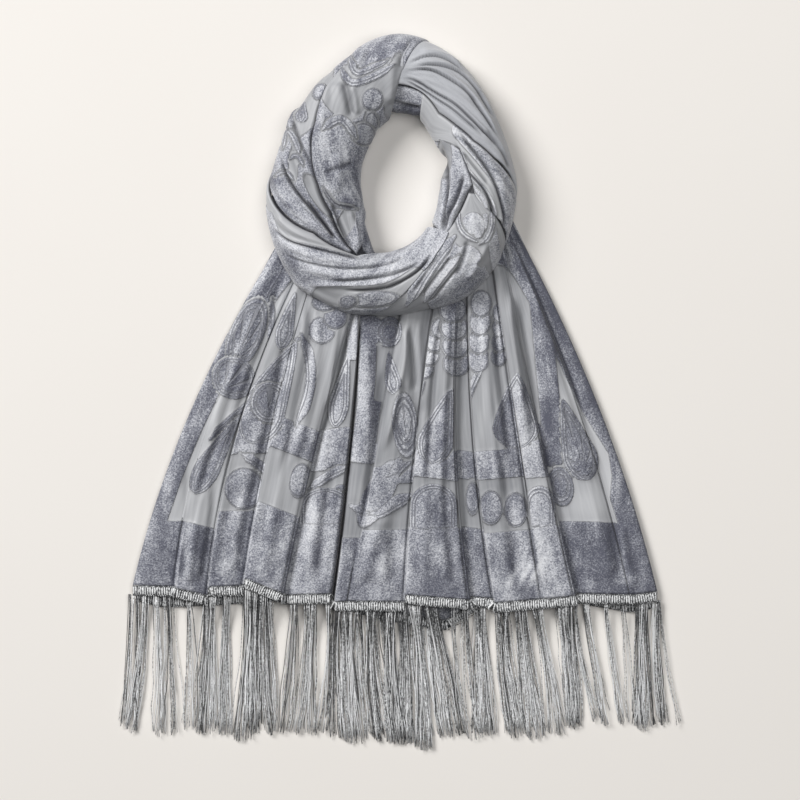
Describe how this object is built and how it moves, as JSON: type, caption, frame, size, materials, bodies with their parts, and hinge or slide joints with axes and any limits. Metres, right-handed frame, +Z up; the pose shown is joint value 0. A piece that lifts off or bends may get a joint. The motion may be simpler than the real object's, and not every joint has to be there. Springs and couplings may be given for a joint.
{
  "type": "burnout velvet shawl",
  "caption": "Long burnout velvet shawl laid flat, wound once into a neck loop, with pleated ends, braid hems and thread fringe.",
  "frame": {"origin": "on the surface that the shawl lies on, under the middle of its outline", "axes": "+X across the shawl to the right, +Y from the fringe to the neck loop, +Z up from the surface"},
  "size_m": [0.5551, 0.7062, 0.0452],
  "materials": {
    "velvet_mid": "burnout velvet pile, silver blue grey",
    "velvet_dark": "velvet pile seen against its nap, slate",
    "satin_ground": "smooth satin-like ground, silver grey",
    "braid_silver": "ribbed braid and twisted thread with a faint sparkle"
  },
  "bodies": {
    "root": {"loop_core": "velvet_dark", "broad_left_turn": "velvet_mid", "left_under_turn": "velvet_mid", "front_lower_turn": "satin_ground", "lower_right_turn": "satin_ground", "right_pleated_turn": "satin_ground", "right_velvet_turn": "velvet_dark", "inner_right_folds": "velvet_mid", "neck_back_turn": "velvet_dark", "inner_left_strip": "velvet_dark", "front_end": "velvet_mid", "back_end": "velvet_dark", "braid_fringe_front": "braid_silver", "braid_fringe_back": "braid_silver"}
  },
  "joints": []
}
